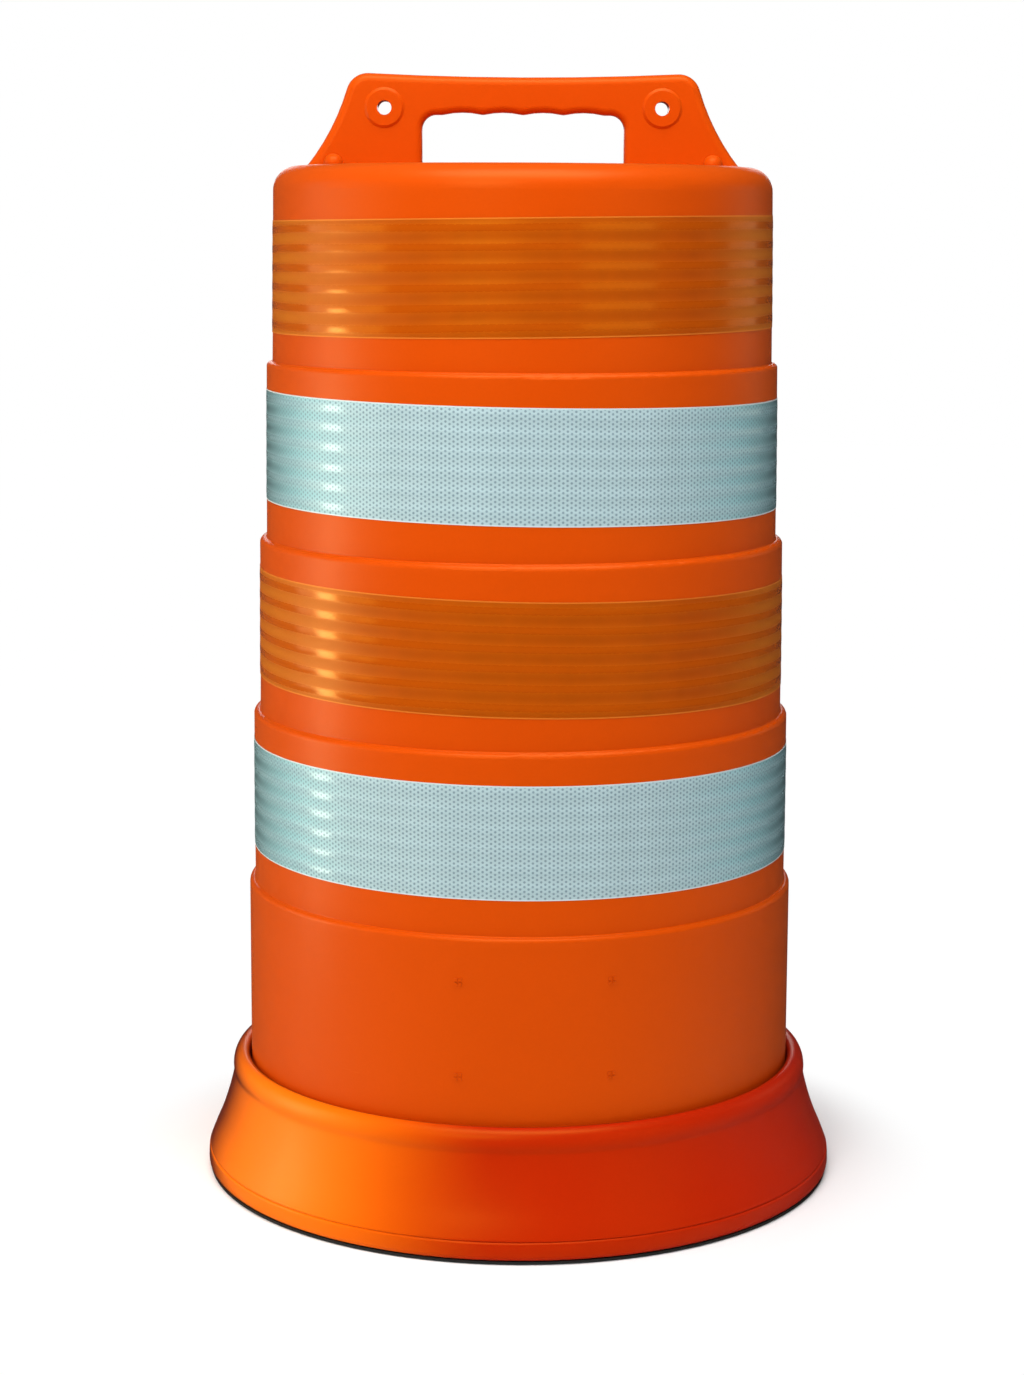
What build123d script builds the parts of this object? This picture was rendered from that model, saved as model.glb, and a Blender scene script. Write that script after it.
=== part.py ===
"""Two-piece traffic drum: a moulded shell with its carrying handle, four reflective
wraps, and a ballast base that slips over the top and rests on the drum's foot flange.

Millimetres. Origin: centre of the foot on the ground. +Z up, handle along X, front -Y."""
import os
from math import asin, degrees

from build123d import *

os.makedirs("parts", exist_ok=True)

# Drum shell
wall = 2.6                      # moulded wall
top_radius = 229.8              # outer radius just under the shoulder
shoulder_r = 22.0               # rounding between the flat top and the first tier
lowest_ledge_z = 282.0          # ledge between the last banded tier and the lower body
tier_pitch = 162.5              # from ledge to ledge
top_tier_extra = 15.0           # the top tier, with the shoulder, is this much taller
tier_growth = (2.0, 1.4, 1.2, 0.4)   # taper of each banded tier, top one first
ledge_out = (5.4, 6.4, 6.0, 5.2)     # how far each ledge stands out
ledge_root_r = 1.2              # hollow rounding at the root of a ledge
body_growth = 0.4               # taper of the lower body
foot_flange_out = 22.6          # foot flange, beyond the lower body
foot_root_r = 3.5               # rounding where the body meets the foot flange

# Handle, one plate across the top
handle_height = 85.0            # upper corners above the drum's top, before rounding
handle_thickness = 26.0
handle_foot_in = 8.8            # ends of its feet, in from the edge of the flat top
handle_lean = 41.5              # upper corners, in from the feet, before rounding
handle_side_hollow = 5.4        # how far each end curves in
handle_top_hollow = 4.2         # how far the top edge dips in the middle
handle_corner_r = 20.0
handle_edge_r = 7.5             # rounding along the plate's outer edges
handle_rim = 8.5                # solid rim left around the handle's hollow
handle_root = 20.0              # how far its outline is carried on below the drum's top
post_width = 64.8               # from the upper corners in to the hand opening
grip_height = 47.2              # hand opening, from the drum's top to the finger ridges
grip_corner_r = 13.0
grip_edge_r = 6.0               # rounding along the opening's edges
fingers = 4
finger_end = 5.7                # outermost finger ridge, in from the opening's rounded corner
finger_depth = 2.2              # depth of the finger scallops between the ridges
finger_ridge_r = 10.0

# Holes in the handle for a warning light's bolts
bolt_in = 30.5                  # in from the handle's upper corners
bolt_drop = 32.0                # down from the handle's upper corners
bolt_hole_r = 6.5
bolt_sleeve = 5.0               # moulded sleeve around each hole, inside the hollow
boss_r = 18.4                   # raised boss at its foot
boss_slope = 2.4                # how much narrower the boss is at its face
boss_height = 1.8

# Stiffening bumps at the handle's feet
foot_bump_in = 25.0             # in from the ends of the feet
foot_bump_r = 9.0
foot_bump_lift = 2.5            # centre above the drum's top

# Locating marks for a label on the lower body: a small block of four pips each
mark_x = (-54.0, 81.0)
mark_rise = (42.0, 128.0)       # above the ballast base
pip_side = 2.6
pip_gap = 1.4
pip_height = 0.9

# Reflective wraps
wrap_height = 101.6
wrap_thickness = 0.5
adhesive = 0.05                 # adhesive line between wrap and drum
wrap_lap_angle = 5.0            # overlap of the wrap's two ends, at the back
orange_shift = -0.4             # wrap centre above the middle of a tier
white_shift = 2.5

# Ballast base
base_bore_clearance = 1.5       # skirt around the drum's lower body
base_out = 19.2                 # lower lip, beyond the drum's foot flange
crest_z = 114.0                 # top of the roll that hugs the drum
roll_inner_r = 5.5              # rounding from the bore up to the crest
roll_outer_r = 8.0              # rounding from the crest outwards
roll_outer_turn = 55.0
roll_side = (10.4, 15.0)        # widest point of the roll: out from the crest and down
roll_end = (9.6, 21.0)          # where the roll turns back in to the flare
flare_start_slope = 0.18        # outward run of the flare for each unit down, under the roll
flare_turn = (7.5, 36.0)        # where the flare turns from hollow to round: in from the lip, height
lip_top_z = 21.0                # top of the lower lip
lip_out = 1.4                   # how far the lip stands proud of the flare
lip_edge_r = 4.5
skirt_wall = 3.5
skirt_bottom_z = 3.5
skirt_hem_depth = 26.0          # inner hem, down from the crest of the roll
ring_bore_clearance = 2.2       # rubber rings around the drum's lower body
ring_skirt_gap = 0.5            # between the rubber rings and the skirt
ring_foot_z = 0.8               # underside of the lower ring, above the ground
ring_foot_in = 1.6              # edge of the lower ring's foot, in from the lip's outer edge
ring_split_z = 46.0             # where the two rubber rings meet
ring_hem_gap = 2.5              # between the upper ring and the skirt's hem
flange_clearance = 1.4          # lower ring around the edge of the drum's foot flange
ring_neck = 1.8                 # rubber between that edge and the groove that the skirt snaps into
root_clearance = 1.0            # lower ring's chamfer, beyond the rounding above the foot flange

# Worked out from the sizes above
banded_tiers = len(tier_growth)
ledge_z = [lowest_ledge_z + tier_pitch * (banded_tiers - 1 - i) for i in range(banded_tiers)]
tier_top_r = [top_radius]
tier_bottom_r = []
for growth, out in zip(tier_growth, ledge_out):
    tier_bottom_r.append(tier_top_r[-1] + growth)
    tier_top_r.append(tier_bottom_r[-1] + out)
body_top_r = tier_top_r[-1]
foot_r = body_top_r + body_growth
foot_flange_r = foot_r + foot_flange_out
top_z = ledge_z[0] + tier_pitch + top_tier_extra
handle_top_z = top_z + handle_height
handle_foot_half = top_radius - shoulder_r - handle_foot_in
handle_top_half = handle_foot_half - handle_lean
grip_half = handle_top_half - post_width
ridge_end = grip_half - grip_corner_r - finger_end
finger_ridge_x = [ridge_end * (2 * i / fingers - 1) for i in range(fingers + 1)]
bolt_x = handle_top_half - bolt_in
bolt_z = handle_top_z - bolt_drop
skirt_bore_r = foot_r + base_bore_clearance
ring_bore_r = foot_r + ring_bore_clearance
base_radius = foot_flange_r + base_out
hem_z = crest_z - skirt_hem_depth
ring_recess_r = foot_flange_r + flange_clearance
ring_neck_r = ring_recess_r + ring_neck
lip_inner_r = ring_neck_r + ring_skirt_gap


def tier_wall(i):
    """Upper and lower end, as radius and height, of the straight wall of banded tier i."""
    if i == 0:
        upper = (top_radius, top_z - shoulder_r)
    else:
        upper = (tier_top_r[i], ledge_z[i - 1] - (ledge_out[i - 1] - ledge_root_r))
    return upper, (tier_bottom_r[i], ledge_z[i] + ledge_root_r)


def tier_radius(i, z):
    """Outer radius of banded tier i at height z."""
    (upper_r, upper_z), (lower_r, lower_z) = tier_wall(i)
    return upper_r + (lower_r - upper_r) * (upper_z - z) / (upper_z - lower_z)


def body_radius(z):
    """Outer radius of the unbanded lower body at height z."""
    body_top_z = ledge_z[-1] - (ledge_out[-1] - ledge_root_r)
    body_bottom_z = wall + foot_root_r
    return foot_r - body_growth * (z - body_bottom_z) / (body_top_z - body_bottom_z)


def turned(section):
    """A section drawn as radius and height, turned about the drum's axis."""
    return revolve(Plane.XZ * section, Axis.Z, 360)


def rectangle(r_low, r_high, z_low, z_high):
    """A rectangle in a section, from its lowest and highest radius and height."""
    centre = Pos((r_low + r_high) / 2, (z_low + z_high) / 2)
    return centre * Rectangle(r_high - r_low, z_high - z_low)


def inset(face, amount):
    """A face of lines and arcs, shrunk all round and redrawn with lines and arcs."""
    edges = []
    for edge in offset(face, amount=-amount).edges():
        if edge.geom_type == GeomType.LINE:
            edges.append(Line(edge @ 0, edge @ 1))
        else:
            edges.append(ThreePointArc(edge @ 0, edge @ 0.5, edge @ 1))
    return make_face(edges)


def drum_outline():
    """Outer line of the shell's section, from the axis over the top and down to the foot."""
    shoulder_start = (top_radius - shoulder_r, top_z)
    shoulder_end = (top_radius, top_z - shoulder_r)
    lines = [
        Line((0, top_z), shoulder_start),
        RadiusArc(shoulder_start, shoulder_end, shoulder_r),
    ]
    for i in range(banded_tiers):
        round_r = ledge_out[i] - ledge_root_r
        upper, lower = tier_wall(i)
        ledge = (tier_bottom_r[i] + ledge_root_r, ledge_z[i])
        lines.append(Line(upper, lower))
        lines.append(RadiusArc(lower, ledge, -ledge_root_r))
        lines.append(RadiusArc(ledge, (tier_top_r[i + 1], ledge_z[i] - round_r), round_r))
    foot_top = (foot_r, wall + foot_root_r)
    foot_root = (foot_r + foot_root_r, wall)
    lines.append(Line((body_top_r, ledge_z[-1] - round_r), foot_top))
    lines.append(RadiusArc(foot_top, foot_root, -foot_root_r))
    lines.append(Line(foot_root, (foot_flange_r, wall)))
    return Wire(lines)


def drum_body():
    """The shell without its handle."""
    return turned(make_face(offset(drum_outline(), amount=wall, side=Side.RIGHT, closed=True)))


def grip_outline(bottom_z):
    """The hand opening, with finger scallops along its upper edge."""
    ridge_z = top_z + grip_height
    side_top = ridge_z - grip_corner_r
    corner_x = grip_half - grip_corner_r
    lines = [
        Line((-grip_half, bottom_z), (-grip_half, side_top)),
        RadiusArc((-grip_half, side_top), (-corner_x, ridge_z), grip_corner_r),
        Line((-corner_x, ridge_z), (finger_ridge_x[0], ridge_z)),
    ]
    for left, right in zip(finger_ridge_x, finger_ridge_x[1:]):
        lines.append(SagittaArc((left, ridge_z), (right, ridge_z), finger_depth))
    lines += [
        Line((finger_ridge_x[-1], ridge_z), (corner_x, ridge_z)),
        RadiusArc((corner_x, ridge_z), (grip_half, side_top), grip_corner_r),
        Line((grip_half, side_top), (grip_half, bottom_z)),
        Line((grip_half, bottom_z), (-grip_half, bottom_z)),
    ]
    face = make_face(Wire(lines))
    ridges = [v for v in face.vertices() if abs(v.Y - ridge_z) < 0.01 and abs(v.X) < corner_x - 0.01]
    return fillet(ridges, finger_ridge_r)


def handle_side(side, bottom_z):
    """One end of the handle's outline: side is 1 for +X, -1 for -X."""
    corner = (side * handle_top_half, handle_top_z)
    foot = (side * handle_foot_half, top_z)
    end = SagittaArc(corner, foot, -side * handle_side_hollow)
    lean = end % 1
    root = (foot[0] + lean.X * (bottom_z - top_z) / lean.Y, bottom_z)
    return [end, Line(foot, root)], corner, root


def handle_outline(bottom_z):
    """The handle plate's outline, carried on below the drum's top to bottom_z."""
    right, right_corner, right_root = handle_side(1, bottom_z)
    left, left_corner, left_root = handle_side(-1, bottom_z)
    top = SagittaArc(left_corner, right_corner, -handle_top_hollow)
    bottom = Line(left_root, right_root)
    face = make_face(Wire(right + left + [top, bottom]))
    corners = [v for v in face.vertices() if abs(v.Y - handle_top_z) < 0.01]
    return fillet(corners, handle_corner_r)


def plate(face, thickness):
    """A face drawn as X and height, given a thickness that is centred on the drum's axis."""
    return extrude(Plane.XZ * face, amount=thickness / 2, both=True)


def grip_face_edges(arch):
    """The edges of the hand opening on the handle's two faces."""
    grip_top = top_z + grip_height + finger_depth
    edges = face_edges(arch)
    return [e for e in edges if abs((e @ 0.5).X) < grip_half + 0.01 and (e @ 0.5).Z < grip_top + 0.01]


def face_edges(arch):
    """The edges on the handle's two faces, apart from those at its lower end."""
    low_z = arch.bounding_box().min.Z
    on_face = [e for e in arch.edges() if abs(abs(e.center().Y) - handle_thickness / 2) < 0.01]
    return [e for e in on_face if (e @ 0.5).Z > low_z + 0.01]


def handle_arch():
    """The handle with rounded edges, open between its two feet."""
    root_z = top_z - handle_root
    arch = plate(handle_outline(root_z), handle_thickness)
    arch = fillet(face_edges(arch), handle_edge_r)
    arch -= plate(grip_outline(root_z - wall), 2 * handle_thickness)
    return fillet(grip_face_edges(arch), grip_edge_r)


def handle_hollow():
    """The space inside the handle, open into the drum below."""
    root_z = top_z - wall - 2 * handle_rim
    outline = handle_outline(root_z) - grip_outline(root_z - wall)
    hollow = plate(inset(outline, handle_rim), handle_thickness - 2 * wall)
    for side in (-1, 1):
        hollow -= bolt_cylinder(side, bolt_hole_r + bolt_sleeve, handle_thickness)
    return hollow


def bolt_cylinder(side, radius, length):
    """A cylinder along Y on the axis of one bolt hole."""
    return Pos(side * bolt_x, 0, bolt_z) * Rot(90, 0, 0) * Cylinder(radius, length)


def bolt_boss(side, face):
    """The raised boss around a bolt hole on one face: face is -1 in front, 1 behind."""
    middle_y = face * (handle_thickness + boss_height) / 2
    boss = Cone(boss_r, boss_r - boss_slope, boss_height)
    return Pos(side * bolt_x, middle_y, bolt_z) * Rot(-90 * face, 0, 0) * boss


def foot_bump(side, face):
    """A rounded stiffening bump against one foot of the handle."""
    return Pos(side * (handle_foot_half - foot_bump_in), face * handle_thickness / 2, top_z + foot_bump_lift) * Sphere(foot_bump_r)


def label_marks():
    """Small raised pips on the front of the lower body, in four blocks of four."""
    step = (pip_side + pip_gap) / 2
    pip = Box(pip_side, 2 * pip_height, pip_side)
    pips = []
    for x in mark_x:
        for rise in mark_rise:
            z = crest_z + rise
            radius = body_radius(z)
            turn = Rot(0, 0, degrees(asin(x / radius)))
            block = [Pos(i * step, -radius, z + k * step) * pip for i in (-1, 1) for k in (-1, 1)]
            pips += [turn * p for p in block]
    return pips


def drum_shell():
    """The moulded shell with its handle, bosses, bumps and label marks."""
    inside_z = top_z - wall
    above = Pos(0, 0, inside_z + handle_height) * Box(
        3 * handle_foot_half, 2 * handle_thickness, 2 * handle_height)
    shell = drum_body() + (handle_arch() & above)
    for side in (-1, 1):
        for face in (-1, 1):
            shell += bolt_boss(side, face)
            shell += foot_bump(side, face) & above
    shell -= handle_hollow()
    for side in (-1, 1):
        shell -= bolt_cylinder(side, bolt_hole_r, 2 * handle_thickness)
    for pip in label_marks():
        shell += pip
    return shell


def wrap(i, shift):
    """The reflective wrap of banded tier i: one strip, its ends lapped at the back."""
    low_z = ledge_z[i] + tier_pitch / 2 + shift - wrap_height / 2
    high_z = low_z + wrap_height

    def strip(inner, angle):
        outer = inner + wrap_thickness
        corners = [
            (tier_radius(i, low_z) + inner, low_z),
            (tier_radius(i, low_z) + outer, low_z),
            (tier_radius(i, high_z) + outer, high_z),
            (tier_radius(i, high_z) + inner, high_z),
        ]
        return revolve(Plane.XZ * make_face(Polyline(corners, close=True)), Axis.Z, angle)

    lap = Rot(0, 0, 90 - wrap_lap_angle / 2) * strip(adhesive + wrap_thickness, wrap_lap_angle)
    return strip(adhesive, 360) + lap


def base_outline():
    """The filled section of the ballast base: roll, flare and lower lip."""
    crest_r = skirt_bore_r + roll_inner_r
    crest = (crest_r, crest_z)
    side_point = (crest_r + roll_side[0], crest_z - roll_side[1])
    flare_start = (crest_r + roll_end[0], crest_z - roll_end[1])
    inner = RadiusArc((skirt_bore_r, crest_z - roll_inner_r), crest, roll_inner_r)
    roll_top = JernArc(start=crest, tangent=(1, 0), radius=roll_outer_r, arc_size=-roll_outer_turn)
    roll_outer = TangentArc(roll_top @ 1, side_point, tangent=roll_top % 1)
    roll_under = TangentArc(side_point, flare_start, tangent=roll_outer % 1)
    flare_turn_r = base_radius - flare_turn[0]
    hollow = TangentArc(flare_start, (flare_turn_r, flare_turn[1]), tangent=(flare_start_slope, -1))
    round_ = TangentArc(hollow @ 1, (base_radius - lip_out, lip_top_z), tangent=hollow % 1)
    lip_start = (base_radius, lip_top_z - lip_out)
    lip_end = (base_radius, skirt_bottom_z + lip_edge_r)
    edge_end = (base_radius - lip_edge_r, skirt_bottom_z)
    bore_low = (skirt_bore_r, skirt_bottom_z)
    return make_face(Wire([
        inner, roll_top, roll_outer, roll_under, hollow, round_,
        Line(round_ @ 1, lip_start),
        Line(lip_start, lip_end),
        RadiusArc(lip_end, edge_end, lip_edge_r),
        Line(edge_end, bore_low),
        Line(bore_low, inner @ 0),
    ]))


def base_skirt():
    """The base's outer skin, with a hem at the bore and a lip turned in at the bottom."""
    outline = base_outline()
    floor_top = skirt_bottom_z + skirt_wall
    section = outline - inset(outline, skirt_wall)
    section -= rectangle(0, skirt_bore_r + skirt_wall, 0, hem_z)
    section -= rectangle(0, lip_inner_r, 0, floor_top)
    return turned(section)


def ring_room():
    """The section left inside the skirt for the rubber rings."""
    return inset(base_outline(), skirt_wall + ring_skirt_gap)


def ballast_ring_lower():
    """The wide rubber ring, which rests on the drum's foot flange and carries the skirt."""
    room_low = skirt_bottom_z + skirt_wall + ring_skirt_gap
    chamfer_size = foot_root_r + root_clearance
    section = ring_room() & rectangle(ring_bore_r, base_radius, room_low, ring_split_z)
    section += rectangle(ring_bore_r, skirt_bore_r + 2 * skirt_wall, wall, ring_split_z)
    section += rectangle(ring_bore_r, ring_neck_r, wall, lip_top_z)
    section += rectangle(ring_recess_r, ring_neck_r, ring_foot_z, lip_top_z)
    section += rectangle(
        ring_recess_r, base_radius - ring_foot_in, ring_foot_z, skirt_bottom_z - ring_skirt_gap)
    corner = [(ring_bore_r, wall), (ring_bore_r + chamfer_size, wall), (ring_bore_r, wall + chamfer_size)]
    section -= make_face(Polyline(corner, close=True))
    return turned(section)


def ballast_ring_upper():
    """The narrow rubber ring stacked on the lower one."""
    top = hem_z - ring_hem_gap
    section = ring_room() & rectangle(ring_bore_r, base_radius, ring_split_z, top)
    section += rectangle(ring_bore_r, skirt_bore_r + 2 * skirt_wall, ring_split_z, top)
    return turned(section)


pieces = {
    "drum_shell": drum_shell(),
    "sheeting_orange_upper": wrap(0, orange_shift),
    "sheeting_white_upper": wrap(1, white_shift),
    "sheeting_orange_lower": wrap(2, orange_shift),
    "sheeting_white_lower": wrap(3, white_shift),
    "base_skirt": base_skirt(),
    "ballast_ring_lower": ballast_ring_lower(),
    "ballast_ring_upper": ballast_ring_upper(),
}
for node, shape in pieces.items():
    export_step(shape, f"parts/{node}.step")
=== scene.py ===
"""Traffic drum with a loose ballast base: the finishes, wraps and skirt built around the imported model."""

import math

import bmesh
import bpy
from bpy.props import FloatProperty, FloatVectorProperty, IntProperty, PointerProperty
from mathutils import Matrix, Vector


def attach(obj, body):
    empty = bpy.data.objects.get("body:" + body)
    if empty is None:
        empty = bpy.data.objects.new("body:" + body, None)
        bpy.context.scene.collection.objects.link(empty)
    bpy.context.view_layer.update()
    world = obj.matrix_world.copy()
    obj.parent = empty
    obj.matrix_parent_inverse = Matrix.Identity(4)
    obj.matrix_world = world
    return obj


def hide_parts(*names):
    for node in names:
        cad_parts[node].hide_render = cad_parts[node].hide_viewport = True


bl_info = {
    "name": "Traffic Drum",
    "version": (1, 0, 0),
    "blender": (4, 5, 0),
    "location": "3D View > Sidebar > Traffic Drum",
    "description": "Builds the reflective wraps, the base skirt and the finishes of a traffic drum",
    "category": "Object",
}

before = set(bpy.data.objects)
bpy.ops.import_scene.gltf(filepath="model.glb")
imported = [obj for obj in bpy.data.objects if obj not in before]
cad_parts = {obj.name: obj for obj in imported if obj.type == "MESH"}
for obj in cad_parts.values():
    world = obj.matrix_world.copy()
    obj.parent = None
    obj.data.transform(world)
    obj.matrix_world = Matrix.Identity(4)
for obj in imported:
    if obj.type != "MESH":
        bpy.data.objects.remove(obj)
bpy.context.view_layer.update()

MM = 0.001
SHEET_MAP = "sheet"
FULL_TURN = 2 * math.pi
FLAT_MARGIN = 4 * MM         # unrippled strip along a wrap's edges
LAP_RISE = 0.5 * MM          # how far the lapped end lies on the other

# Each wrap: CAD node, slot, upper and lower radius and height of its tier's wall (mm), centre height (mm),
# tilt (degrees)
WRAPS = (
    ("sheeting_orange_upper", "orange_sheeting", (229.8, 925.0), (231.8, 770.7), 850.35, 0.8),
    ("sheeting_white_upper", "white_sheeting", (237.2, 765.3), (238.6, 608.2), 690.75, -0.8),
    ("sheeting_orange_lower", "orange_sheeting", (245.0, 601.8), (246.2, 445.7), 525.35, -0.9),
    ("sheeting_white_lower", "white_sheeting", (252.2, 439.7), (252.6, 283.2), 365.75, -0.25),
)

WHITE = (1.0, 1.0, 1.0, 1.0)
BLACK = (0.0, 0.0, 0.0, 1.0)
DRUM_SHEEN = (1.0, 0.5, 0.1, 1.0)           # tint of what the drum reflects
DRUM_PAINTED_SHEEN = (0.46, 0.085, 0.002, 1.0)      # painted golden sheen on the drum at a steep angle
SKIRT_PAINTED_SHADE = (0.11, 0.005, 0.001, 1.0)     # painted shade on the skirt at a steep angle
WHITE_SHEEN = (0.80, 1.0, 1.0, 1.0)         # tint of what the white sheeting reflects
AMBER_SHEEN = (1.0, 0.58, 0.03, 1.0)        # tint of what the orange sheeting reflects
SCUFFED_DRUM = (0.72, 0.15, 0.02, 1.0)
SCUFFED_SKIRT = (0.8, 0.16, 0.04, 1.0)
SCUFFED_RUBBER = (0.08, 0.075, 0.07, 1.0)
WHITE_CUT_HIGHLIGHT = (0.58, 0.64, 0.64, 1.0)         # painted highlight along the cut edge of the white sheeting
AMBER_CUT_HIGHLIGHT = (0.80, 0.22, 0.03, 1.0)         # painted highlight along the cut edge of the orange sheeting
FLOOR_TONES = ((0.90, 0.90, 0.90, 1.0), (0.93, 0.93, 0.93, 1.0))
FLOOR_RADIUS = 9.0                          # metres
FLOOR_FADE = (0.30, 0.42)                   # where the floor turns white, metres from its centre
DIMMED_GLOSS = 0.88                         # share taken off the surroundings in reflections
DIM_SIDE = (0.45, 0.47, 0.5, 1.0)           # surroundings on the right
PAINTED_LIGHT_TOWARDS = (-0.88, -0.47, 0.0)         # side of the skirt with the most painted yellow light

# Section of the skirt: radius and height of each corner, and how far its rounding runs along both sides, mm
SKIRT_CORNERS = (
    (259.7, 88.0, 0.8),
    (259.7, 114.0, 5.2),
    (270.6, 114.0, 7.0),
    (276.2, 101.5, 5.2),
    (274.8, 93.0, 1.6),
    (279.9, 64.6, 26.0),
    (295.4, 29.6, 7.0),
    (298.5, 21.3, 0.4),
    (297.5, 20.6, 0.2),
    (299.4, 19.6, 0.9),
    (300.0, 13.0, 3.0),
    (300.0, 3.5, 4.4),
    (284.5, 3.5, 1.2),
    (284.5, 7.0, 1.2),
    (296.4, 7.0, 1.5),
    (296.0, 18.0, 1.5),
    (292.4, 28.6, 7.0),
    (276.4, 64.6, 24.0),
    (271.4, 93.0, 1.5),
    (272.6, 101.0, 4.0),
    (267.8, 110.5, 4.0),
    (263.2, 110.5, 2.0),
    (263.2, 88.0, 0.8),
)
ROUNDING_STEP = 1.2     # longest run of one facet in a rounding, mm


# ---------------------------------------------------------------- sizes and colours

class WrapSettings(bpy.types.PropertyGroup):
    height: FloatProperty(
        name="Height", description="Height of one reflective wrap",
        default=101.6 * MM, min=0.02, unit="LENGTH", precision=4)
    thickness: FloatProperty(
        name="Thickness", description="Thickness of the sheeting",
        default=0.22 * MM, min=0.0001, unit="LENGTH", precision=5)
    adhesive: FloatProperty(
        name="Adhesive", description="Gap between the sheeting and the drum",
        default=0.05 * MM, min=0.0, unit="LENGTH", precision=5)
    ripple: FloatProperty(
        name="Ripple", description="Height of the soft rows pressed into the sheeting",
        default=0.09 * MM, min=0.0, unit="LENGTH", precision=5)
    rows: IntProperty(
        name="Rows", description="Soft rows across the height of a wrap", default=6, min=1)
    lap: FloatProperty(
        name="Lap", description="Overlap of the two ends, at the back",
        default=math.radians(5), min=0.0, subtype="ANGLE")
    around: IntProperty(
        name="Steps around", description="Facets around one wrap", default=288, min=24)
    row_steps: IntProperty(
        name="Steps in a row", description="Facets across one soft row", default=8, min=2)


class SkirtSettings(bpy.types.PropertyGroup):
    around: IntProperty(
        name="Steps around", description="Facets around the skirt", default=256, min=24)


def colour(name, description, default):
    """A colour that a user can change."""
    return FloatVectorProperty(
        name=name, description=description, default=default, size=3, min=0, max=1, subtype="COLOR")


class FinishSettings(bpy.types.PropertyGroup):
    drum: colour("Drum", "Orange of the moulded drum", (0.585, 0.058, 0.0008))
    skirt: colour("Skirt", "Redder orange of the glossy skirt", (0.455, 0.0125, 0.0008))
    # Painted light: a yellower orange painted on the skirt's left front, standing in for the warm light
    # that falls there.
    skirt_painted_light: colour(
        "Skirt, faded side", "Yellower orange where the skirt has faded",
        (0.92, 0.17, 0.0012))
    skirt_sheen: colour("Skirt sheen", "Tint of what the skirt reflects", (1.0, 0.50, 0.03))
    white: colour("White sheeting", "Cool grey of the white sheeting", (0.385, 0.515, 0.54))
    prism: colour("Prism dots", "Darker dots in the white sheeting", (0.14, 0.21, 0.25))
    # Painted reflection: darker teal painted on the white sheeting towards its sides, standing in for the
    # dark surroundings it reflects.
    steep: colour(
        "White sheeting, from the side", "Teal of the prisms seen at a steep angle",
        (0.27, 0.53, 0.56))
    # Painted reflection: gold painted on the orange sheeting towards its sides, standing in for golden
    # reflections.
    gold: colour(
        "Orange sheeting, from the side", "Gold of the orange sheeting at a steep angle",
        (0.54, 0.13, 0.0030))
    amber: colour("Orange sheeting", "Amber of the orange sheeting", (0.43, 0.052, 0.0008))
    # Painted sheen: paler amber painted along the soft rows.
    amber_row_sheen: colour("Orange sheeting, rows", "Paler amber along the soft rows", (0.49, 0.078, 0.002))
    rubber: colour("Rubber", "Black of the ballast rings", (0.016, 0.015, 0.014))
    prism_pitch: FloatProperty(
        name="Prism pitch", description="Distance between two dots of the sheeting",
        default=4.2 * MM, min=0.0005, unit="LENGTH", precision=5)


class StudioSettings(bpy.types.PropertyGroup):
    camera_distance: FloatProperty(
        name="Camera distance", description="Distance from the drum's axis to the camera",
        default=2.588, min=0.5, unit="LENGTH")
    camera_height: FloatProperty(
        name="Camera height", description="Height of the camera above the floor",
        default=0.8945, min=0.0, unit="LENGTH")
    camera_side: FloatProperty(
        name="Camera side", description="How far the camera stands to the right of the drum's axis",
        default=-0.008, unit="LENGTH")
    camera_pitch: FloatProperty(
        name="Camera pitch", description="How far the camera looks down",
        default=math.radians(9.51), subtype="ANGLE")
    camera_roll: FloatProperty(
        name="Camera roll", description="How far the camera leans to one side",
        default=math.radians(0.25), subtype="ANGLE")
    lens: FloatProperty(
        name="Lens", description="Focal length of the camera", default=72.26, min=10, unit="CAMERA")
    ambient: FloatProperty(
        name="Ambient light", description="Strength of the light from all around",
        default=0.38, min=0.0)


# ---------------------------------------------------------------- node helpers

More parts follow.
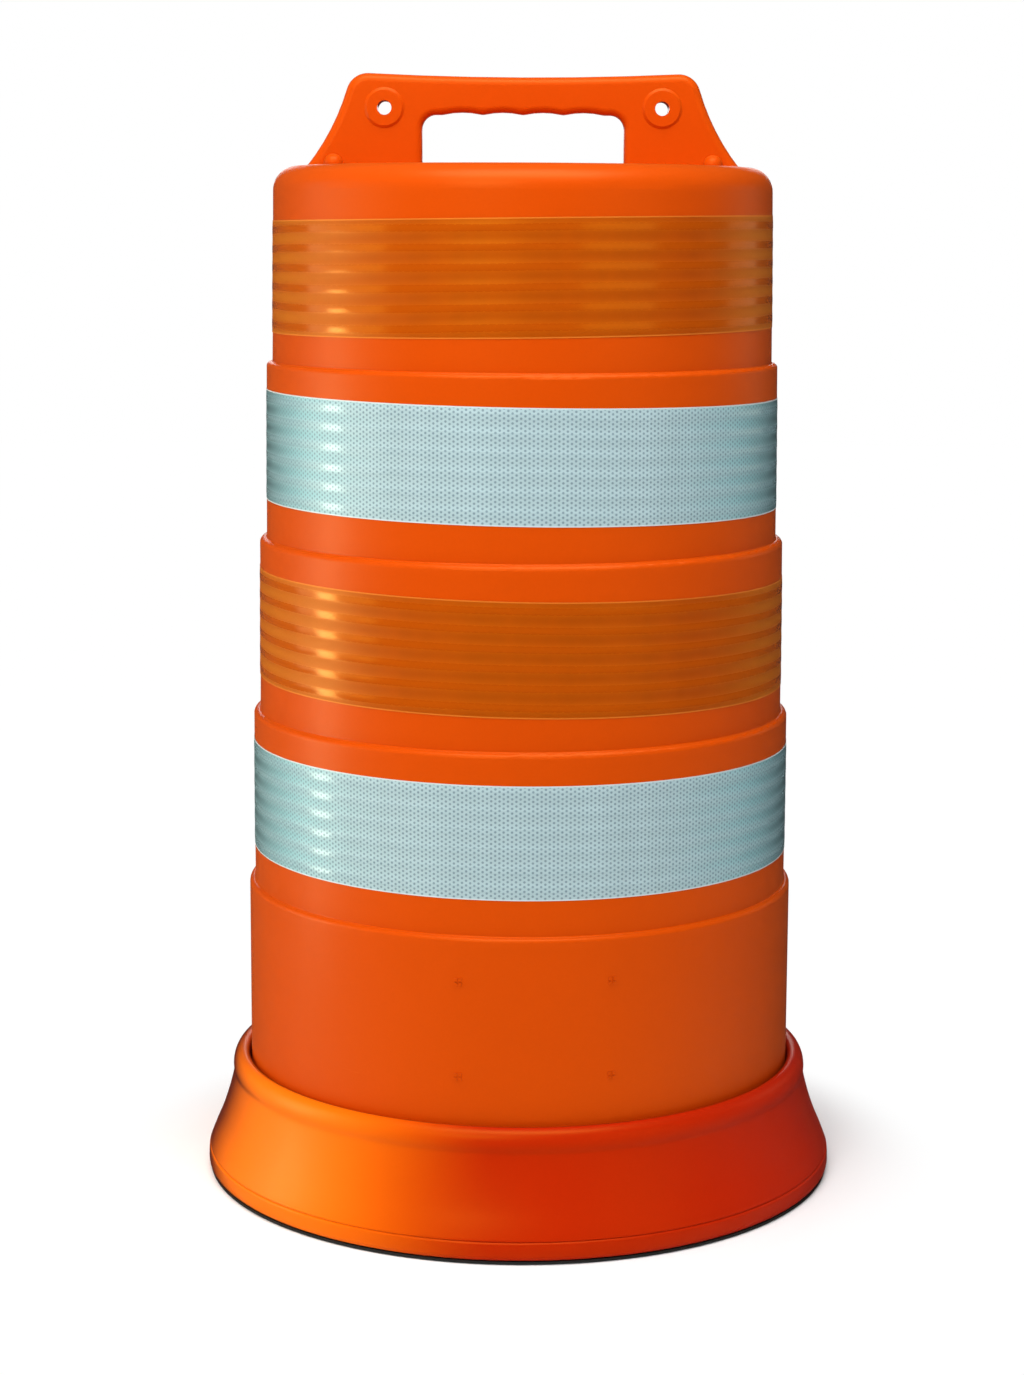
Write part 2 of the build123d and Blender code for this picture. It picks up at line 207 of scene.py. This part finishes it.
class Nodes:
    """Adds nodes to one tree, and sets or links what goes into them."""

    def __init__(self, tree):
        self.tree = tree

    def add(self, kind, inputs=None, **settings):
        node = self.tree.nodes.new(kind)
        for name, value in settings.items():
            setattr(node, name, value)
        for socket, value in (inputs or {}).items():
            self.put(node.inputs[socket], value)
        return node

    def put(self, socket, value):
        if isinstance(value, bpy.types.NodeSocket):
            self.tree.links.new(value, socket)
        else:
            socket.default_value = value

    def math(self, operation, *values):
        inputs = dict(enumerate(values))
        return self.add("ShaderNodeMath", inputs, operation=operation).outputs[0]

    def vector(self, operation, *values):
        node = self.add("ShaderNodeVectorMath", dict(enumerate(values)), operation=operation)
        return node.outputs["Value" if operation in ("LENGTH", "DISTANCE", "DOT_PRODUCT") else "Vector"]

    def ramp(self, value, low, high, to_low=0.0, to_high=1.0):
        inputs = {"Value": value, "From Min": low, "From Max": high, "To Min": to_low, "To Max": to_high}
        return self.add("ShaderNodeMapRange", inputs, interpolation_type="SMOOTHSTEP").outputs[0]

    def mix(self, factor, first, second):
        node = self.add("ShaderNodeMix", data_type="RGBA")
        for socket, value in (("Factor_Float", factor), ("A_Color", first), ("B_Color", second)):
            self.put(next(s for s in node.inputs if s.identifier == socket), value)
        return next(s for s in node.outputs if s.identifier == "Result_Color")

    def noise(self, vector, scale, detail=2.0, roughness=0.5):
        inputs = {"Vector": vector, "Scale": scale, "Detail": detail, "Roughness": roughness}
        return self.add("ShaderNodeTexNoise", inputs).outputs["Fac"]

    def stretched(self, vector, scale):
        return self.add("ShaderNodeMapping", {"Vector": vector, "Scale": scale}).outputs[0]

    def facing(self, blend):
        """0 where the surface faces the viewer, 1 at a steep angle."""
        return self.add("ShaderNodeLayerWeight", {"Blend": blend}).outputs["Facing"]

    def bump(self, height, strength, distance, normal=None):
        inputs = {"Height": height, "Strength": strength, "Distance": distance}
        if normal is not None:
            inputs["Normal"] = normal
        return self.add("ShaderNodeBump", inputs).outputs[0]


def rgba(colour, gain=1.0):
    return tuple(min(1.0, c * gain) for c in colour) + (1.0,)


def new_group(name, inputs, outputs):
    """An empty shader group with named sockets, its helper, and its group input's sockets by name."""
    tree = bpy.data.node_groups.new(name, "ShaderNodeTree")
    for socket, kind, default in inputs:
        made = tree.interface.new_socket(name=socket, in_out="INPUT", socket_type=kind)
        if default is not None:
            made.default_value = default
    for socket, kind in outputs:
        tree.interface.new_socket(name=socket, in_out="OUTPUT", socket_type=kind)
    nodes = Nodes(tree)
    taken = nodes.add("NodeGroupInput")
    given = nodes.add("NodeGroupOutput")
    return nodes, taken.outputs, given.inputs


def group(name):
    """The shader group of that name, made the first time it is asked for."""
    return bpy.data.node_groups.get(name) or GROUPS[name](name)


def moulded_grain(name):
    """Fine texture of a moulded surface, its soft clouding, and rare light scuffs."""
    nodes, taken, given = new_group(
        name,
        (("Coordinates", "NodeSocketVector", None), ("Grain", "NodeSocketFloat", 900.0),
         ("Scuffs", "NodeSocketFloat", 0.3)),
        (("Height", "NodeSocketFloat"), ("Cloud", "NodeSocketFloat"), ("Scuff", "NodeSocketFloat")))
    place = taken["Coordinates"]
    fine = nodes.noise(place, taken["Grain"], 3.0, 0.6)
    soft = nodes.noise(place, 55.0, 2.0)
    nodes.put(given["Height"], nodes.math("ADD", fine, nodes.math("MULTIPLY", soft, 0.8)))
    broad = nodes.noise(place, 5.5, 4.0, 0.6)
    speck = nodes.noise(place, 420.0, 1.0)
    nodes.put(given["Cloud"], nodes.math("MULTIPLY_ADD", speck, 0.35, nodes.math("MULTIPLY", broad, 0.65)))
    lines = nodes.noise(nodes.stretched(place, (9.0, 9.0, 260.0)), 1.0, 3.0, 0.7)
    patch = nodes.noise(place, 7.0, 2.0)
    hairs = nodes.ramp(lines, 0.68, 0.74)
    where = nodes.ramp(patch, 0.52, 0.66)
    nodes.put(given["Scuff"], nodes.math("MULTIPLY", nodes.math("MULTIPLY", hairs, where), taken["Scuffs"]))
    return nodes.tree


def prism_dots(name):
    """Dots on a six-way lattice over the sheet, one straight above the other."""
    nodes, taken, given = new_group(
        name,
        (("Sheet", "NodeSocketVector", None), ("Pitch", "NodeSocketFloat", 0.004),
         ("Dot", "NodeSocketFloat", 0.22)),
        (("Dots", "NodeSocketFloat"),))
    scale = nodes.math("DIVIDE", 1.0, taken["Pitch"])
    scaled = {0: taken["Sheet"], "Scale": scale}
    place = nodes.add("ShaderNodeVectorMath", scaled, operation="SCALE").outputs[0]
    half = (math.sqrt(3) / 2, 0.5, 0.0)
    low = (-half[0], -half[1], 0.0)
    first = nodes.vector("LENGTH", nodes.vector("WRAP", place, half, low))
    second = nodes.vector("LENGTH", nodes.vector("WRAP", nodes.vector("ADD", place, half), half, low))
    nearest = nodes.math("MINIMUM", first, second)
    outer = nodes.math("ADD", taken["Dot"], 0.14)
    nodes.put(given["Dots"], nodes.ramp(nearest, taken["Dot"], outer, 1.0, 0.0))
    return nodes.tree


def sheet_rows(name):
    """Soft rows across the sheet, its two cut edges, and faint upright changes of tone."""
    nodes, taken, given = new_group(
        name,
        (("Sheet", "NodeSocketVector", None), ("Height", "NodeSocketFloat", 0.1),
         ("Rows", "NodeSocketFloat", 6.0)),
        (("Wave", "NodeSocketFloat"), ("Edge", "NodeSocketFloat"), ("Panels", "NodeSocketFloat")))
    parts = nodes.add("ShaderNodeSeparateXYZ", {0: taken["Sheet"]}).outputs
    wander = nodes.noise(nodes.stretched(taken["Sheet"], (3.0, 9.0, 1.0)), 1.0, 1.0)
    across = nodes.math("DIVIDE", parts["Y"], taken["Height"])
    drift = nodes.math("MULTIPLY_ADD", wander, 0.5, -0.25)
    turns = nodes.math("MULTIPLY_ADD", across, taken["Rows"], drift)
    wave = nodes.math("COSINE", nodes.math("MULTIPLY", turns, FULL_TURN))
    nodes.put(given["Wave"], nodes.math("MULTIPLY_ADD", wave, -0.5, 0.5))
    middle = nodes.math("ABSOLUTE", nodes.math("SUBTRACT", across, 0.5))
    nodes.put(given["Edge"], nodes.ramp(middle, 0.485, 0.493))
    panels = nodes.noise(nodes.stretched(taken["Sheet"], (26.0, 0.6, 1.0)), 1.0, 2.0, 0.7)
    nodes.put(given["Panels"], panels)
    return nodes.tree


GROUPS = {"Moulded grain": moulded_grain, "Prism dots": prism_dots, "Sheet rows": sheet_rows}


def new_material(name, **constants):
    """A material with its Principled shader, and constants set on the shader's own sockets."""
    material = bpy.data.materials.new(name)
    material.use_nodes = True
    shader = material.node_tree.nodes["Principled BSDF"]
    for socket, value in constants.items():
        shader.inputs[socket.replace("_", " ")].default_value = value
    return material, Nodes(material.node_tree), shader.inputs


def place_grain(nodes, grain, scuffs):
    """The grain group in a material, reading the piece's own coordinates."""
    node = nodes.add("ShaderNodeGroup", node_tree=group("Moulded grain"))
    place = nodes.add("ShaderNodeTexCoord").outputs["Object"]
    for socket, value in (("Coordinates", place), ("Grain", grain), ("Scuffs", scuffs)):
        nodes.put(node.inputs[socket], value)
    return node.outputs


def drum_plastic(finish):
    """Matt orange moulded plastic: fine grain, faint clouding, a few pale scuffs, a painted golden sheen at
    steep angles.
    """
    material, nodes, shader = new_material(
        "drum plastic", Specular_IOR_Level=0.28, Specular_Tint=DRUM_SHEEN)
    grain = place_grain(nodes, 950.0, 0.35)
    tone = nodes.mix(grain["Cloud"], rgba(finish.drum, 0.93), rgba(finish.drum, 1.07))
    # Painted sheen: the base colour turns a yellower, duller orange at steep angles, standing in for a
    # golden reflection.
    facing = nodes.facing(0.25)
    tone = nodes.mix(nodes.math("MULTIPLY", facing, 0.6), tone, DRUM_PAINTED_SHEEN)
    nodes.put(shader["Base Color"], nodes.mix(grain["Scuff"], tone, SCUFFED_DRUM))
    rough = nodes.math("MULTIPLY_ADD", grain["Cloud"], 0.14, 0.28)
    nodes.put(shader["Roughness"], nodes.math("MULTIPLY_ADD", grain["Scuff"], 0.25, rough))
    nodes.put(shader["Normal"], nodes.bump(grain["Height"], 0.55, 0.00016))
    return material


def skirt_plastic(finish):
    """Glossy red-orange plastic of the skirt, with a warm sheen, painted yellower light on its left front
    and painted shade at steep angles.
    """
    material, nodes, shader = new_material(
        "skirt plastic", Specular_IOR_Level=0.4, Specular_Tint=rgba(finish.skirt_sheen))
    grain = place_grain(nodes, 600.0, 0.25)
    tone = nodes.mix(grain["Cloud"], rgba(finish.skirt, 0.90), rgba(finish.skirt, 1.10))
    # Painted light: yellower orange towards the skirt's left front, where a warm light falls.
    place = nodes.add("ShaderNodeTexCoord").outputs["Object"]
    outward = nodes.vector("NORMALIZE", nodes.vector("MULTIPLY", place, (1.0, 1.0, 0.0)))
    side = nodes.vector("DOT_PRODUCT", outward, PAINTED_LIGHT_TOWARDS)
    drift = nodes.math("MULTIPLY_ADD", nodes.noise(place, 3.0, 2.0), 0.2, -0.1)
    painted_light = nodes.ramp(nodes.math("ADD", side, drift), 0.52, 1.06)
    tone = nodes.mix(painted_light, tone, rgba(finish.skirt_painted_light))
    # Painted shade: dark red at steep angles, weaker on the side turned away from the painted light.
    facing = nodes.facing(0.3)
    steep = nodes.ramp(facing, 0.36, 0.76, 0.0, 0.94)
    dark = nodes.math("MULTIPLY", steep, nodes.ramp(side, -0.6, 0.3, 0.1, 1.0))
    tone = nodes.mix(dark, tone, SKIRT_PAINTED_SHADE)
    nodes.put(shader["Base Color"], nodes.mix(grain["Scuff"], tone, SCUFFED_SKIRT))
    rough = nodes.math("MULTIPLY_ADD", grain["Cloud"], 0.12, 0.32)
    nodes.put(shader["Roughness"], nodes.math("MULTIPLY_ADD", grain["Scuff"], 0.3, rough))
    nodes.put(shader["Normal"], nodes.bump(grain["Height"], 0.35, 0.00014))
    return material


def rubber(finish):
    """Dull black recycled rubber with a coarse crumb."""
    material, nodes, shader = new_material("ballast rubber", Specular_IOR_Level=0.35)
    grain = place_grain(nodes, 330.0, 0.15)
    tone = nodes.mix(grain["Cloud"], rgba(finish.rubber, 0.6), rgba(finish.rubber, 1.7))
    nodes.put(shader["Base Color"], nodes.mix(grain["Scuff"], tone, SCUFFED_RUBBER))
    nodes.put(shader["Roughness"], nodes.ramp(grain["Cloud"], 0.3, 0.7, 0.72, 0.95))
    nodes.put(shader["Normal"], nodes.bump(grain["Height"], 0.9, 0.0006))
    return material


def place_sheet(nodes, finish, wraps, dot):
    """The dots and rows of a sheet, read from its own map."""
    sheet = nodes.add("ShaderNodeUVMap", uv_map=SHEET_MAP).outputs[0]
    dots = nodes.add("ShaderNodeGroup", node_tree=group("Prism dots"))
    for socket, value in (("Sheet", sheet), ("Pitch", finish.prism_pitch), ("Dot", dot)):
        nodes.put(dots.inputs[socket], value)
    rows = nodes.add("ShaderNodeGroup", node_tree=group("Sheet rows"))
    for socket, value in (("Sheet", sheet), ("Height", wraps.height), ("Rows", float(wraps.rows))):
        nodes.put(rows.inputs[socket], value)
    inside = nodes.math("SUBTRACT", 1.0, rows.outputs["Edge"])
    return nodes.math("MULTIPLY", dots.outputs["Dots"], inside), rows.outputs


def white_sheeting(finish, wraps):
    """Cool white prismatic sheeting: dark dots, soft rows with a painted sheen, painted dark teal
    reflections towards the sides, a painted highlight along the cut edge.
    """
    material, nodes, shader = new_material(
        "white sheeting", Metallic=0.06, Specular_IOR_Level=0.5, Specular_Tint=WHITE_SHEEN)
    dots, rows = place_sheet(nodes, finish, wraps, 0.19)
    ground = nodes.mix(rows["Panels"], rgba(finish.white, 0.96), rgba(finish.white, 1.12))
    # Painted sheen: slightly lighter along the soft rows.
    ground = nodes.mix(nodes.math("MULTIPLY", rows["Wave"], 0.10), ground, rgba(finish.white, 1.12))
    # Painted reflection: darker teal towards the sides and dark teal at the steepest angles, standing in
    # for dark surroundings seen in the sheeting.
    facing = nodes.facing(0.5)
    trough = nodes.math("MULTIPLY_ADD", rows["Wave"], -0.55, 1.0)
    side = nodes.math("MULTIPLY", nodes.ramp(facing, 0.10, 0.60), trough)
    ground = nodes.mix(side, ground, rgba(finish.steep))
    brim = nodes.math("MULTIPLY", nodes.ramp(facing, 0.40, 0.95), trough)
    ground = nodes.mix(brim, ground, rgba(finish.steep, 0.22))
    dotted = nodes.mix(nodes.math("MULTIPLY", dots, 0.80), ground, rgba(finish.prism))
    # Painted highlight along the cut edges.
    nodes.put(shader["Base Color"], nodes.mix(rows["Edge"], dotted, WHITE_CUT_HIGHLIGHT))
    smooth = nodes.ramp(rows["Wave"], 0.45, 0.95, 0.44, 0.15)
    nodes.put(shader["Roughness"], nodes.math("MULTIPLY_ADD", dots, 0.10, smooth))
    normal = nodes.bump(rows["Wave"], 1.0, 0.00013)
    nodes.put(shader["Normal"], nodes.bump(dots, 0.2, 0.0001, normal))
    return material


def orange_sheeting(finish, wraps):
    """Amber prismatic sheeting: soft rows with a painted paler sheen, faint dots, golden reflections with
    painted gold towards the sides, a painted highlight along the cut edge.
    """
    material, nodes, shader = new_material(
        "orange sheeting", Metallic=0.05, Specular_IOR_Level=1.0, Specular_Tint=AMBER_SHEEN)
    dots, rows = place_sheet(nodes, finish, wraps, 0.16)
    panels = nodes.ramp(rows["Panels"], 0.35, 0.65)
    ground = nodes.mix(panels, rgba(finish.amber, 0.92), rgba(finish.amber))
    facing = nodes.facing(0.5)
    # Painted reflection: gold towards the sides.
    ground = nodes.mix(nodes.ramp(facing, 0.22, 0.70, 0.0, 0.9), ground, rgba(finish.gold))
    # Painted sheen: paler amber along the soft rows.
    striped = nodes.mix(nodes.math("MULTIPLY", rows["Wave"], 0.8), ground, rgba(finish.amber_row_sheen))
    dotted = nodes.mix(nodes.math("MULTIPLY", dots, 0.05), striped, rgba(finish.amber, 0.7))
    # Painted highlight along the cut edges.
    cut = nodes.math("MULTIPLY", rows["Edge"], 0.6)
    nodes.put(shader["Base Color"], nodes.mix(cut, dotted, AMBER_CUT_HIGHLIGHT))
    smooth = nodes.ramp(rows["Wave"], 0.40, 0.95, 0.42, 0.15)
    nodes.put(shader["Roughness"], nodes.math("MULTIPLY_ADD", dots, 0.05, smooth))
    normal = nodes.bump(rows["Wave"], 1.0, 0.00013)
    nodes.put(shader["Normal"], nodes.bump(dots, 0.06, 0.0001, normal))
    return material


# ---------------------------------------------------------------- mesh helpers

def new_piece(name, bm, material, smooth_angle=40.0):
    """A smooth-shaded object at the origin from a bmesh, sharp only past an angle."""
    mesh = bpy.data.meshes.new(name)
    bm.to_mesh(mesh)
    bm.free()
    mesh.materials.append(material)
    mesh.shade_smooth()
    mesh.set_sharp_from_angle(angle=math.radians(smooth_angle))
    piece = bpy.data.objects.new(name, mesh)
    bpy.context.scene.collection.objects.link(piece)
    return piece


def dress(node, material):
    """Gives a CAD node its finish."""
    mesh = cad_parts[node].data
    mesh.materials.clear()
    mesh.materials.append(material)


def eased(value):
    """0 to 1 with a soft start and end, for a value in that range."""
    value = min(1.0, max(0.0, value))
    return value * value * (3 - 2 * value)


def wrap_mesh(settings, upper, lower, centre, tilt):
    """One sheet rolled round its tier: a flat grid, wrapped, rippled and given its thickness."""
    rows = settings.rows * settings.row_steps
    bm = bmesh.new()
    bmesh.ops.create_grid(bm, x_segments=settings.around, y_segments=rows, size=0.5)
    maps = bm.loops.layers.uv.new(SHEET_MAP)
    whole = FULL_TURN + settings.lap
    middle_r = (upper[0] + lower[0]) / 2 * MM
    sheet_place = {v: (v.co.x + 0.5, v.co.y + 0.5) for v in bm.verts}
    for face in bm.faces:
        for loop in face.loops:
            along, across = sheet_place[loop.vert]
            loop[maps].uv = (along * whole * middle_r, across * settings.height)
    slope = (lower[0] - upper[0]) / (upper[1] - lower[1])
    for v, (along, across) in sheet_place.items():
        angle = along * whole + math.radians(90.0) - settings.lap / 2
        z = centre * MM + (across - 0.5) * settings.height
        edge = eased(min(across, 1 - across) * settings.height / FLAT_MARGIN)
        ripple = settings.ripple * edge * (1 - math.cos(FULL_TURN * across * settings.rows))
        climb = eased((along * whole - FULL_TURN + settings.lap) / settings.lap) * LAP_RISE
        z += middle_r * math.cos(angle) * math.tan(math.radians(tilt))
        wall_r = (upper[0] + slope * (upper[1] - z / MM)) * MM
        r = wall_r + settings.adhesive + ripple + climb
        v.co = (r * math.cos(angle), r * math.sin(angle), z)
    bmesh.ops.recalc_face_normals(bm, faces=bm.faces)
    front = min(bm.faces, key=lambda f: f.calc_center_median().y)
    if front.normal.y > 0:
        bmesh.ops.reverse_faces(bm, faces=bm.faces)
    bmesh.ops.solidify(bm, geom=bm.faces[:], thickness=-settings.thickness)
    bmesh.ops.recalc_face_normals(bm, faces=bm.faces)
    return bm


def ring_mesh(corners, around):
    """A closed ring from its section: corners rounded in the section, then turned about the axis."""
    bm = bmesh.new()
    made = [bm.verts.new((r * MM, 0.0, z * MM)) for r, z, _ in corners]
    bm.faces.new(made)
    for v, (_, _, rounding) in zip(made, corners):
        bmesh.ops.bevel(
            bm, geom=[v], offset=rounding * MM, segments=max(3, round(rounding / ROUNDING_STEP)),
            profile=0.5, material=-1, affect="VERTICES")
    bmesh.ops.delete(bm, geom=bm.faces[:], context="FACES_ONLY")
    bmesh.ops.spin(
        bm, geom=bm.verts[:] + bm.edges[:], cent=(0, 0, 0), axis=(0, 0, 1),
        dvec=(0, 0, 0), angle=FULL_TURN, steps=around, use_merge=True, use_duplicate=False)
    bmesh.ops.remove_doubles(bm, verts=bm.verts[:], dist=1e-6)
    bmesh.ops.recalc_face_normals(bm, faces=bm.faces)
    return bm


# ---------------------------------------------------------------- operators

class DRUM_OT_shell(bpy.types.Operator):
    """Gives the moulded drum its plastic."""
    bl_idname = "traffic_drum.shell"
    bl_label = "Drum shell"

    def execute(self, context):
        dress("drum_shell", drum_plastic(context.scene.drum_finish))
        return {"FINISHED"}


class DRUM_OT_wraps(bpy.types.Operator):
    """Makes the four reflective wraps."""
    bl_idname = "traffic_drum.wraps"
    bl_label = "Reflective wraps"

    def execute(self, context):
        scene = context.scene
        finish, wraps = scene.drum_finish, scene.drum_wraps
        sheets = {
            "orange_sheeting": orange_sheeting(finish, wraps),
            "white_sheeting": white_sheeting(finish, wraps),
        }
        for node, slot, upper, lower, centre, tilt in WRAPS:
            bm = wrap_mesh(wraps, upper, lower, centre, tilt)
            piece = new_piece(node.replace("sheeting", "wrap"), bm, sheets[slot], 50.0)
            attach(piece, "drum")
            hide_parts(node)
        return {"FINISHED"}


class DRUM_OT_skirt(bpy.types.Operator):
    """Makes the skirt of the ballast base."""
    bl_idname = "traffic_drum.skirt"
    bl_label = "Base skirt"

    def execute(self, context):
        scene = context.scene
        bm = ring_mesh(SKIRT_CORNERS, scene.drum_skirt.around)
        piece = new_piece("base_skirt_cover", bm, skirt_plastic(scene.drum_finish), 50.0)
        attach(piece, "ballast_base")
        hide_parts("base_skirt")
        return {"FINISHED"}


class DRUM_OT_rings(bpy.types.Operator):
    """Gives the two ballast rings their rubber."""
    bl_idname = "traffic_drum.rings"
    bl_label = "Ballast rings"

    def execute(self, context):
        material = rubber(context.scene.drum_finish)
        for node in ("ballast_ring_lower", "ballast_ring_upper"):
            dress(node, material)
        return {"FINISHED"}


LAMPS = (
    # name, place, aimed at, width, height, watts, colour
    ("key", (-1.0, -3.1, 2.3), (0.0, 0.0, 0.5), 1.5, 1.5, 45.0, (1.0, 0.98, 0.95)),
    ("fill", (2.4, -2.6, 1.3), (0.0, 0.0, 0.5), 2.2, 1.8, 9.0, (0.95, 0.98, 1.0)),
    ("overhead", (0.0, -0.9, 2.7), (0.0, 0.0, 0.6), 2.0, 1.2, 60.0, (1.0, 1.0, 1.0)),
    ("left panel", (-2.6, -0.2, 0.92), (0.0, 0.0, 0.6), 2.3, 1.7, 14.5, (1.0, 0.96, 0.76)),
    ("left strip", (-1.25, -0.12, 0.42), (0.0, -0.12, 0.42), 0.22, 0.76, 3.6, (1.0, 0.95, 0.76)),
    ("right panel", (2.0, 0.9, 0.95), (0.0, 0.0, 0.8), 1.0, 0.8, 1.2, (1.0, 0.88, 0.6)),
    ("rear strip", (0.0, 3.0, 1.35), (0.0, 0.0, 0.95), 1.8, 0.6, 12.0, (1.0, 1.0, 1.0)),
)


class DRUM_OT_stage(bpy.types.Operator):
    """Makes the floor, the lights and the camera."""
    bl_idname = "traffic_drum.stage"
    bl_label = "Floor, lights and camera"

    def execute(self, context):
        scene = context.scene
        studio = scene.drum_studio
        scene.view_settings.view_transform = "Standard"
        self.floor()
        for lamp in LAMPS:
            self.lamp(*lamp)
        self.surroundings(scene, studio.ambient)
        camera = bpy.data.objects.new("camera", bpy.data.cameras.new("camera"))
        scene.collection.objects.link(camera)
        camera.data.lens = studio.lens
        camera.data.sensor_width = 36.0
        camera.location = (studio.camera_side, -studio.camera_distance, studio.camera_height)
        camera.rotation_mode = "XYZ"
        camera.rotation_euler = (math.radians(90) - studio.camera_pitch, 0.0, 0.0)
        camera.rotation_euler.rotate_axis("Z", studio.camera_roll)
        scene.camera = camera
        return {"FINISHED"}

    def floor(self):
        """A pale floor that turns into the white surroundings away from the object."""
        bm = bmesh.new()
        bmesh.ops.create_circle(bm, cap_ends=True, segments=96, radius=FLOOR_RADIUS)
        material, nodes, shader = new_material(
            "pale floor", Roughness=0.9, Specular_IOR_Level=0.1, Emission_Strength=1.0)
        place = nodes.add("ShaderNodeTexCoord").outputs["Object"]
        seen = nodes.add("ShaderNodeLightPath").outputs["Is Camera Ray"]
        away = nodes.ramp(nodes.vector("LENGTH", place), *FLOOR_FADE)
        far = nodes.math("MULTIPLY", away, seen)
        pale = nodes.mix(nodes.noise(place, 1.3, 3.0), *FLOOR_TONES)
        nodes.put(shader["Base Color"], nodes.mix(far, pale, BLACK))
        nodes.put(shader["Emission Color"], nodes.mix(far, BLACK, WHITE))
        piece = new_piece("floor", bm, material, 60.0)
        piece.visible_glossy = False

    def lamp(self, name, place, aim, width, height, watts, tint):
        light = bpy.data.lights.new(name, "AREA")
        light.shape = "RECTANGLE"
        light.size, light.size_y = width, height
        light.energy = watts
        light.color = tint
        lamp = bpy.data.objects.new(name, light)
        lamp.visible_camera = False
        lamp.location = place
        lamp.rotation_euler = (Vector(aim) - Vector(place)).to_track_quat("-Z", "Y").to_euler()
        bpy.context.scene.collection.objects.link(lamp)

    def surroundings(self, scene, strength):
        """White behind the object, and softer light from all around that is dimmer on the right."""
        world = bpy.data.worlds.new("studio")
        scene.world = world
        world.use_nodes = True
        nodes = Nodes(world.node_tree)
        background = world.node_tree.nodes["Background"]
        place = nodes.add("ShaderNodeTexCoord").outputs["Generated"]
        side = nodes.add("ShaderNodeSeparateXYZ", {0: place}).outputs["X"]
        path = nodes.add("ShaderNodeLightPath").outputs
        seen = path["Is Camera Ray"]
        around = nodes.mix(nodes.ramp(side, -0.8, 0.9), WHITE, DIM_SIDE)
        nodes.put(background.inputs["Color"], nodes.mix(seen, around, WHITE))
        level = nodes.math("MULTIPLY_ADD", path["Is Glossy Ray"], -DIMMED_GLOSS * strength, strength)
        nodes.put(background.inputs["Strength"], nodes.math("MAXIMUM", level, seen))


class DRUM_PT_panel(bpy.types.Panel):
    bl_idname = "DRUM_PT_panel"
    bl_label = "Traffic drum"
    bl_space_type = "VIEW_3D"
    bl_region_type = "UI"
    bl_category = "Traffic Drum"

    def draw(self, context):
        for operator in OPERATORS:
            self.layout.operator(operator.bl_idname)
        for attribute, settings in SETTINGS.items():
            box = self.layout.box()
            for name in settings.__annotations__:
                box.prop(getattr(context.scene, attribute), name)


OPERATORS = (DRUM_OT_shell, DRUM_OT_wraps, DRUM_OT_skirt, DRUM_OT_rings, DRUM_OT_stage)
SETTINGS = {
    "drum_wraps": WrapSettings,
    "drum_skirt": SkirtSettings,
    "drum_finish": FinishSettings,
    "drum_studio": StudioSettings,
}
CLASSES = (*SETTINGS.values(), *OPERATORS, DRUM_PT_panel)


def register():
    for made in CLASSES:
        bpy.utils.register_class(made)
    for attribute, settings in SETTINGS.items():
        setattr(bpy.types.Scene, attribute, PointerProperty(type=settings))


def unregister():
    for attribute in SETTINGS:
        delattr(bpy.types.Scene, attribute)
    for made in reversed(CLASSES):
        bpy.utils.unregister_class(made)


def main():
    register()
    bpy.ops.traffic_drum.shell()
    bpy.ops.traffic_drum.wraps()
    bpy.ops.traffic_drum.skirt()
    bpy.ops.traffic_drum.rings()
    bpy.ops.traffic_drum.stage()


if __name__ == "__main__":
    main()
